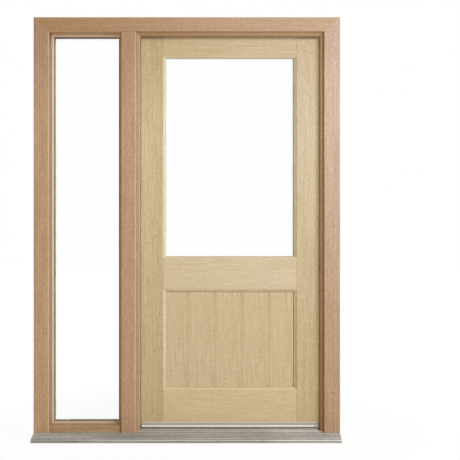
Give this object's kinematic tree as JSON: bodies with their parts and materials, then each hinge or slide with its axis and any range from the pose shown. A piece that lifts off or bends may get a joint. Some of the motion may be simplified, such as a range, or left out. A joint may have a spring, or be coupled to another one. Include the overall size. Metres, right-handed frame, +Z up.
{
  "type": "glazed entrance door with sidelight",
  "caption": "Half-glazed timber entrance door hung on butt hinges in a moulded hardwood frame, beside a narrow fixed sidelight, on a sloping metal-covered sill.",
  "frame": {"origin": "on the underside of the sill, at the middle of the frame's width, in the plane of the frame's outer face", "axes": "+X to the right as seen from outside, +Y into the building, +Z up"},
  "size_m": [1.537, 0.1745, 2.119],
  "materials": {
    "hardwood": "clear satin on reddish hardwood",
    "pale_oak": "clear matt on pale oak",
    "clear_glass": "clear float glass",
    "spacer_bar": "dull grey",
    "mill_aluminium": "mill finish with long drawn lines",
    "hinge_steel": "satin"
  },
  "bodies": {
    "frame": {"left_jamb": "hardwood", "mullion": "hardwood", "right_jamb": "hardwood", "head": "hardwood", "sidelight_bottom_rail": "hardwood", "sidelight_bead_left": "hardwood", "sidelight_bead_right": "hardwood", "sidelight_bead_top": "hardwood", "sidelight_bead_bottom": "hardwood", "sidelight_outer_pane": "clear_glass", "sidelight_inner_pane": "clear_glass", "sidelight_spacer": "spacer_bar", "sill_core": "hardwood", "sill_cover": "mill_aluminium", "bottom_hinge_frame_leaf": "hinge_steel", "middle_hinge_frame_leaf": "hinge_steel", "top_hinge_frame_leaf": "hinge_steel", "bottom_hinge_pin": "hinge_steel", "middle_hinge_pin": "hinge_steel", "top_hinge_pin": "hinge_steel"},
    "door": {"lock_stile": "pale_oak", "hinge_stile": "pale_oak", "top_rail": "pale_oak", "middle_rail": "pale_oak", "bottom_rail": "pale_oak", "lower_panel": "pale_oak", "door_bead_left": "pale_oak", "door_bead_right": "pale_oak", "door_bead_top": "pale_oak", "door_bead_bottom": "pale_oak", "door_outer_pane": "clear_glass", "door_inner_pane": "clear_glass", "door_spacer": "spacer_bar", "weather_bar": "mill_aluminium", "bottom_hinge_door_leaf": "hinge_steel", "middle_hinge_door_leaf": "hinge_steel", "top_hinge_door_leaf": "hinge_steel"}
  },
  "joints": [
    {"name": "door_swing", "type": "hinge", "parent": "frame", "child": "door", "pos_m": [0.676, 0.101, 1.0415], "axis": [0, 0, -1], "range_deg": [0, 110]}
  ]
}
